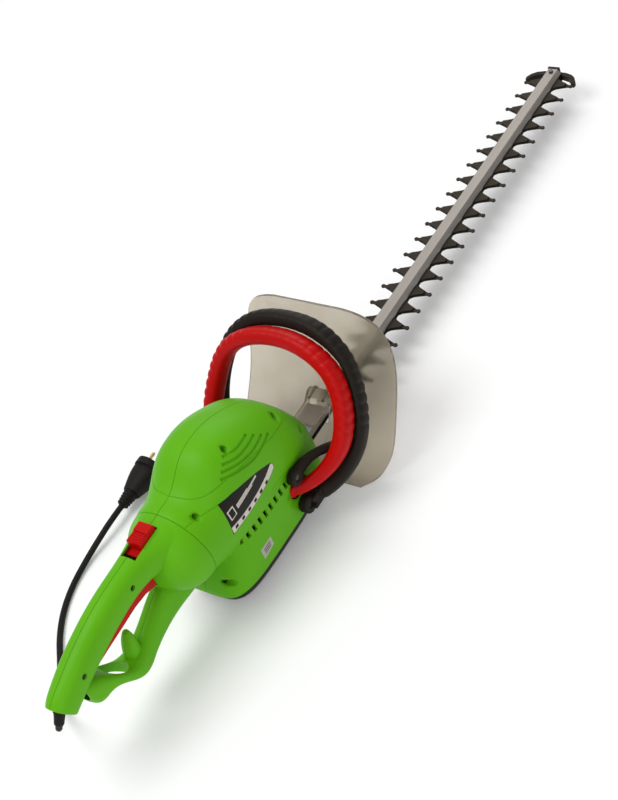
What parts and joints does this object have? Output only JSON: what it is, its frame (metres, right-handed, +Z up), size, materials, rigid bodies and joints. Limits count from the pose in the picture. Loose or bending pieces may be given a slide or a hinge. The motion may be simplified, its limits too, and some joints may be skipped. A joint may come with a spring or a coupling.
{
  "type": "hedge trimmer",
  "caption": "Corded electric hedge trimmer with double-sided reciprocating blades, swivelling D-shaped rear handle, two-hand switch bar and clear hand guard.",
  "frame": {"origin": "on the flat rest face of the base cover, under the motor's axis", "axes": "+X along the blade to its tip, +Y to the operator's left, +Z up, square to the rest face"},
  "size_m": [1.1612, 0.3254, 0.204],
  "materials": {
    "green_plastic": "moulded, fine satin texture",
    "black_plastic": "moulded, satin",
    "red_plastic": "moulded, satin",
    "frosted_plastic": "translucent, frosted",
    "bar_aluminium": "extruded, brushed along its length",
    "blade_steel": "blackened, ground bright at the edges",
    "cast_metal": "die cast",
    "gear_steel": "machined",
    "screw_steel": "zinc plated",
    "lamination": "stacked sheet",
    "copper": "enamelled wire",
    "carbon": "pressed carbon",
    "cord_rubber": "dull",
    "pin_brass": "plain",
    "inner_plastic": "moulded, plain"
  },
  "bodies": {
    "machine": {"housing_left": "green_plastic", "housing_right": "green_plastic", "base_cover": "black_plastic", "gear_case": "cast_metal", "gear_case_cover": "cast_metal", "gear_bearing_low": "gear_steel", "gear_bearing_top": "gear_steel", "stator_core": "lamination", "field_coils": "copper", "motor_bearing_low": "gear_steel", "motor_bearing_top": "gear_steel", "bearing_bridge": "inner_plastic", "brush_holders": "pin_brass", "carbon_brushes": "carbon", "comb_blade": "blade_steel", "blade_bar": "bar_aluminium", "blade_bolts": "screw_steel", "blade_bushes": "screw_steel", "tip_guard": "black_plastic", "front_handle": "black_plastic", "hand_guard": "frosted_plastic", "blade_bracket": "cast_metal", "guard_mount": "frosted_plastic", "bar_switch": "inner_plastic", "capacitor": "inner_plastic", "housing_screws": "screw_steel", "base_screws": "screw_steel", "case_screws": "screw_steel", "foot_screws": "screw_steel", "bracket_screws": "screw_steel", "guard_screws": "screw_steel", "tip_screw": "screw_steel"},
    "rear_handle": {"rear_handle_left": "green_plastic", "rear_handle_right": "green_plastic", "swivel_ring": "black_plastic", "trigger_pin": "screw_steel", "trigger_spring": "screw_steel", "lock_spring": "screw_steel", "switch_module": "inner_plastic", "handle_screws": "screw_steel", "mains_cord": "cord_rubber", "strain_relief": "cord_rubber", "mains_plug": "cord_rubber", "plug_pins": "pin_brass"},
    "trigger": {"trigger": "red_plastic"},
    "lock": {"lock_slider": "red_plastic"},
    "hand_switch": {"switch_bar": "red_plastic"},
    "crank": {"drive_gear": "gear_steel", "crank_shaft": "gear_steel"},
    "rotor": {"motor_shaft": "gear_steel", "pinion": "gear_steel", "rotor_core": "lamination", "rotor_winding": "copper", "commutator": "copper", "fan": "inner_plastic"},
    "cutter": {"cutter_blade": "blade_steel"}
  },
  "joints": [
    {"name": "handle_swivel", "type": "hinge", "parent": "machine", "child": "rear_handle", "pos_m": [-0.078, 0, 0.122], "axis": [1, 0, 0], "range_deg": [-90, 90]},
    {"name": "trigger_pull", "type": "hinge", "parent": "rear_handle", "child": "trigger", "pos_m": [-0.25, 0, 0.128], "axis": [0, -1, 0], "range_deg": [0, 2.6], "stiffness_Nm_per_rad": 8, "springref_deg": -1.72, "deforming": ["trigger_spring"]},
    {"name": "lock_slide", "type": "slide", "parent": "rear_handle", "child": "lock", "axis": [-1, 0, 0], "range_m": [0, 0.005], "stiffness_N_per_m": 400, "springref_m": -0.002, "deforming": ["lock_spring"]},
    {"name": "bar_squeeze", "type": "hinge", "parent": "machine", "child": "hand_switch", "pos_m": [0.058, 0, 0.069], "axis": [0, 1, 0], "range_deg": [0, 2.5], "stiffness_Nm_per_rad": 40, "springref_deg": -1.72},
    {"name": "gear_spin", "type": "hinge", "parent": "machine", "child": "crank", "pos_m": [0.03938, 0, 0.06], "axis": [0, 0, 1], "continuous": true},
    {"name": "rotor_spin", "type": "hinge", "parent": "machine", "child": "rotor", "pos_m": [0, 0, 0.1], "axis": [0, 0, 1], "continuous": true},
    {"name": "blade_stroke", "type": "slide", "parent": "machine", "child": "cutter", "axis": [1, 0, 0], "range_m": [-0.008, 0.008]}
  ],
  "couplings": [
    {"joint": "rotor_spin", "follows": "gear_spin", "ratio": -6}
  ]
}
